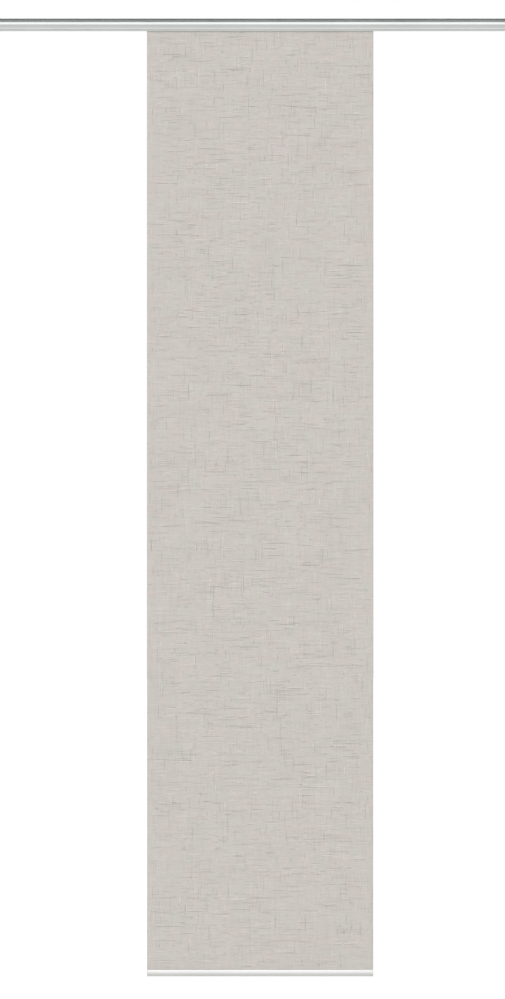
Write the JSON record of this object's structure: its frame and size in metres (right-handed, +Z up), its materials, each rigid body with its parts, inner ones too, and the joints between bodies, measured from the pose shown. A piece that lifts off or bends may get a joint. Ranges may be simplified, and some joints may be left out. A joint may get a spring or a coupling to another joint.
{
  "type": "panel curtain",
  "caption": "Sliding panel curtain: a flat linen-look panel on a carrier rail in a channelled ceiling track with a reeded fascia, straightened by an oval bottom bar.",
  "frame": {"origin": "centre of the track's flat top face, which lies against the ceiling", "axes": "+Z up, +X along the track to the right as seen from the room, -Y towards the room, where the fascia faces"},
  "size_m": [1.604, 0.0586, 2.538],
  "materials": {
    "track_aluminium": "satin anodised",
    "track_cap_plastic": "fine matt moulded grey",
    "stop_plastic": "moulded off-white",
    "screw_steel": "zinc plated",
    "carrier_aluminium": "mill finish",
    "carrier_cap_plastic": "moulded light grey",
    "glider_plastic": "moulded acetal, white",
    "hook_tape_nylon": "woven, moulded hooks",
    "loop_tape_nylon": "brushed loops",
    "linen_weave": "linen-look weave with slubs",
    "rod_plastic": "extruded",
    "bar_aluminium": "satin anodised",
    "bar_cap_plastic": "moulded light grey"
  },
  "bodies": {
    "ceiling_track": {"track": "track_aluminium", "track_cap_left": "track_cap_plastic", "track_cap_right": "track_cap_plastic", "end_stop_left": "stop_plastic", "end_stop_right": "stop_plastic", "stop_screw_left": "screw_steel", "stop_screw_right": "screw_steel"},
    "sliding_panel": {"carrier_rail": "carrier_aluminium", "carrier_cap_left": "carrier_cap_plastic", "carrier_cap_right": "carrier_cap_plastic", "glider_1": "glider_plastic", "glider_2": "glider_plastic", "glider_3": "glider_plastic", "glider_4": "glider_plastic", "glider_5": "glider_plastic", "hook_tape": "hook_tape_nylon", "loop_tape": "loop_tape_nylon", "fabric_panel": "linen_weave", "hem_rod": "rod_plastic", "bottom_bar": "bar_aluminium", "bar_cap_left": "bar_cap_plastic", "bar_cap_right": "bar_cap_plastic"}
  },
  "joints": [
    {"name": "panel_slide", "type": "slide", "parent": "ceiling_track", "child": "sliding_panel", "axis": [1, 0, 0], "range_m": [-0.4935, 0.4935]}
  ]
}
